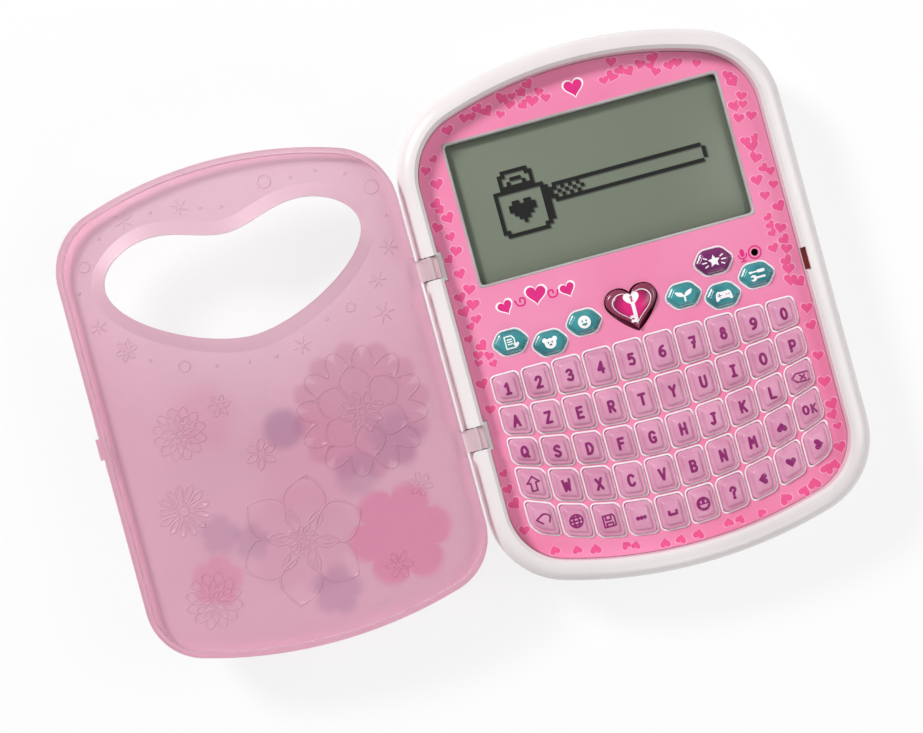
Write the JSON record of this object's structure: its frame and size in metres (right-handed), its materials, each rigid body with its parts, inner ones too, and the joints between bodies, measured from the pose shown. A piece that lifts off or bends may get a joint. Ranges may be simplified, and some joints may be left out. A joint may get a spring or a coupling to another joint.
{
  "type": "electronic diary",
  "caption": "Pocket electronic diary with a bowed keyboard, a small screen and a hinged translucent lid with a heart-shaped window and a sprung latch.",
  "frame": {"origin": "middle of the underside of the body, on the surface it rests on", "axes": "+X across the keyboard to the right, +Y up the keyboard towards the screen's far edge, +Z out of the keys; the lid lies open to the left"},
  "size_m": [0.2214, 0.1594, 0.0273],
  "materials": {
    "white_plastic": "moulded, soft gloss",
    "pink_plate": "printed with small hearts, satin",
    "clear_lens": "clear, polished",
    "lcd_glass": "grey-green reflective display glass",
    "frame_plastic": "moulded",
    "ribbon_film": "flexible film",
    "mat_rubber": "silicone",
    "board_laminate": "coated laminate",
    "chip_plastic": "moulded",
    "zinc_steel": "zinc plated",
    "cell_can": "plain sleeve",
    "nickel_plate": "nickel plated",
    "speaker_black": "moulded",
    "wire_red": "insulated",
    "mic_can": "drawn can",
    "catch_red": "moulded",
    "bright_steel": "drawn",
    "solenoid_frame": "folded frame",
    "pink_clear": "frosted translucent, embossed",
    "mauve_key": "pearly, printed",
    "teal_button": "printed",
    "purple_button": "printed",
    "magenta_button": "printed"
  },
  "bodies": {
    "case": {"front_case": "white_plastic", "rear_case": "white_plastic", "battery_door": "white_plastic", "face_plate": "pink_plate", "screen_lens": "clear_lens", "lcd_glass": "lcd_glass", "lcd_frame": "frame_plastic", "lcd_ribbon": "ribbon_film", "keypad_mat": "mat_rubber", "main_board": "board_laminate", "board_components": "chip_plastic", "board_screws": "zinc_steel", "case_screws": "zinc_steel", "door_screw": "zinc_steel", "battery_cells": "cell_can", "battery_contacts": "nickel_plate", "speaker": "speaker_black", "speaker_leads": "wire_red", "microphone": "mic_can", "lock_solenoid": "solenoid_frame", "lock_leads": "wire_red", "catch_spring": "bright_steel", "hinge_pins": "bright_steel"},
    "lid": {"lid_shell": "pink_clear"},
    "catch": {"lock_catch": "catch_red", "lock_plunger": "bright_steel"},
    "key_1_body": {"key_1": "mauve_key"},
    "key_2_body": {"key_2": "mauve_key"},
    "key_3_body": {"key_3": "mauve_key"},
    "key_4_body": {"key_4": "mauve_key"},
    "key_5_body": {"key_5": "mauve_key"},
    "key_6_body": {"key_6": "mauve_key"},
    "key_7_body": {"key_7": "mauve_key"},
    "key_8_body": {"key_8": "mauve_key"},
    "key_9_body": {"key_9": "mauve_key"},
    "key_0_body": {"key_0": "mauve_key"},
    "key_erase_body": {"key_erase": "mauve_key"},
    "key_shift_body": {"key_shift": "mauve_key"},
    "key_up_body": {"key_up": "mauve_key"},
    "key_ok_body": {"key_ok": "mauve_key"},
    "key_exit_body": {"key_exit": "mauve_key"},
    "key_space_body": {"key_space": "mauve_key"},
    "key_left_body": {"key_left": "mauve_key"},
    "key_down_body": {"key_down": "mauve_key"},
    "key_right_body": {"key_right": "mauve_key"},
    "letter_keys_top_body": {"letter_keys_top": "mauve_key"},
    "letter_keys_middle_body": {"letter_keys_middle": "mauve_key"},
    "letter_keys_bottom_body": {"letter_keys_bottom": "mauve_key"},
    "symbol_keys_body": {"symbol_keys": "mauve_key"},
    "button_note_body": {"button_note": "teal_button"},
    "button_pet_body": {"button_pet": "teal_button"},
    "button_face_body": {"button_face": "teal_button"},
    "button_sprout_body": {"button_sprout": "teal_button"},
    "button_game_body": {"button_game": "teal_button"},
    "button_tools_body": {"button_tools": "teal_button"},
    "button_star_body": {"button_star": "purple_button"},
    "button_heart_body": {"button_heart": "magenta_button"}
  },
  "joints": [
    {"name": "lid_hinge", "type": "hinge", "parent": "case", "child": "lid", "pos_m": [-0.05518, 0, 0.0238], "axis": [0, 1, 0], "range_deg": [0, 180]},
    {"name": "catch_slide", "type": "slide", "parent": "case", "child": "catch", "axis": [1, 0, 0], "range_m": [0, 0.0012], "stiffness_N_per_m": 300, "deforming": ["catch_spring"]},
    {"name": "key_1_press", "type": "slide", "parent": "case", "child": "key_1_body", "axis": [0, 0, -1], "range_m": [0, 0.0009], "stiffness_N_per_m": 500, "deforming": ["keypad_mat"]},
    {"name": "key_2_press", "type": "slide", "parent": "case", "child": "key_2_body", "axis": [0, 0, -1], "range_m": [0, 0.0009], "stiffness_N_per_m": 500},
    {"name": "key_3_press", "type": "slide", "parent": "case", "child": "key_3_body", "axis": [0, 0, -1], "range_m": [0, 0.0009], "stiffness_N_per_m": 500},
    {"name": "key_4_press", "type": "slide", "parent": "case", "child": "key_4_body", "axis": [0, 0, -1], "range_m": [0, 0.0009], "stiffness_N_per_m": 500},
    {"name": "key_5_press", "type": "slide", "parent": "case", "child": "key_5_body", "axis": [0, 0, -1], "range_m": [0, 0.0009], "stiffness_N_per_m": 500},
    {"name": "key_6_press", "type": "slide", "parent": "case", "child": "key_6_body", "axis": [0, 0, -1], "range_m": [0, 0.0009], "stiffness_N_per_m": 500},
    {"name": "key_7_press", "type": "slide", "parent": "case", "child": "key_7_body", "axis": [0, 0, -1], "range_m": [0, 0.0009], "stiffness_N_per_m": 500},
    {"name": "key_8_press", "type": "slide", "parent": "case", "child": "key_8_body", "axis": [0, 0, -1], "range_m": [0, 0.0009], "stiffness_N_per_m": 500},
    {"name": "key_9_press", "type": "slide", "parent": "case", "child": "key_9_body", "axis": [0, 0, -1], "range_m": [0, 0.0009], "stiffness_N_per_m": 500},
    {"name": "key_0_press", "type": "slide", "parent": "case", "child": "key_0_body", "axis": [0, 0, -1], "range_m": [0, 0.0009], "stiffness_N_per_m": 500},
    {"name": "key_erase_press", "type": "slide", "parent": "case", "child": "key_erase_body", "axis": [0, 0, -1], "range_m": [0, 0.0009], "stiffness_N_per_m": 500},
    {"name": "key_shift_press", "type": "slide", "parent": "case", "child": "key_shift_body", "axis": [0, 0, -1], "range_m": [0, 0.0009], "stiffness_N_per_m": 500},
    {"name": "key_up_press", "type": "slide", "parent": "case", "child": "key_up_body", "axis": [0, 0, -1], "range_m": [0, 0.0009], "stiffness_N_per_m": 500},
    {"name": "key_ok_press", "type": "slide", "parent": "case", "child": "key_ok_body", "axis": [0, 0, -1], "range_m": [0, 0.0009], "stiffness_N_per_m": 500},
    {"name": "key_exit_press", "type": "slide", "parent": "case", "child": "key_exit_body", "axis": [0, 0, -1], "range_m": [0, 0.0009], "stiffness_N_per_m": 500},
    {"name": "key_space_press", "type": "slide", "parent": "case", "child": "key_space_body", "axis": [0, 0, -1], "range_m": [0, 0.0009], "stiffness_N_per_m": 500},
    {"name": "key_left_press", "type": "slide", "parent": "case", "child": "key_left_body", "axis": [0, 0, -1], "range_m": [0, 0.0009], "stiffness_N_per_m": 500},
    {"name": "key_down_press", "type": "slide", "parent": "case", "child": "key_down_body", "axis": [0, 0, -1], "range_m": [0, 0.0009], "stiffness_N_per_m": 500},
    {"name": "key_right_press", "type": "slide", "parent": "case", "child": "key_right_body", "axis": [0, 0, -1], "range_m": [0, 0.0009], "stiffness_N_per_m": 500},
    {"name": "letter_keys_top_press", "type": "slide", "parent": "case", "child": "letter_keys_top_body", "axis": [0, 0, -1], "range_m": [0, 0.0009], "stiffness_N_per_m": 5000},
    {"name": "letter_keys_middle_press", "type": "slide", "parent": "case", "child": "letter_keys_middle_body", "axis": [0, 0, -1], "range_m": [0, 0.0009], "stiffness_N_per_m": 4500},
    {"name": "letter_keys_bottom_press", "type": "slide", "parent": "case", "child": "letter_keys_bottom_body", "axis": [0, 0, -1], "range_m": [0, 0.0009], "stiffness_N_per_m": 3500},
    {"name": "symbol_keys_press", "type": "slide", "parent": "case", "child": "symbol_keys_body", "axis": [0, 0, -1], "range_m": [0, 0.0009], "stiffness_N_per_m": 2500},
    {"name": "button_note_press", "type": "slide", "parent": "case", "child": "button_note_body", "axis": [0, 0, -1], "range_m": [0, 0.0009], "stiffness_N_per_m": 500},
    {"name": "button_pet_press", "type": "slide", "parent": "case", "child": "button_pet_body", "axis": [0, 0, -1], "range_m": [0, 0.0009], "stiffness_N_per_m": 500},
    {"name": "button_face_press", "type": "slide", "parent": "case", "child": "button_face_body", "axis": [0, 0, -1], "range_m": [0, 0.0009], "stiffness_N_per_m": 500},
    {"name": "button_sprout_press", "type": "slide", "parent": "case", "child": "button_sprout_body", "axis": [0, 0, -1], "range_m": [0, 0.0009], "stiffness_N_per_m": 500},
    {"name": "button_game_press", "type": "slide", "parent": "case", "child": "button_game_body", "axis": [0, 0, -1], "range_m": [0, 0.0009], "stiffness_N_per_m": 500},
    {"name": "button_tools_press", "type": "slide", "parent": "case", "child": "button_tools_body", "axis": [0, 0, -1], "range_m": [0, 0.0009], "stiffness_N_per_m": 500},
    {"name": "button_star_press", "type": "slide", "parent": "case", "child": "button_star_body", "axis": [0, 0, -1], "range_m": [0, 0.0009], "stiffness_N_per_m": 500},
    {"name": "button_heart_press", "type": "slide", "parent": "case", "child": "button_heart_body", "axis": [0, 0, -1], "range_m": [0, 0.0009], "stiffness_N_per_m": 500}
  ]
}
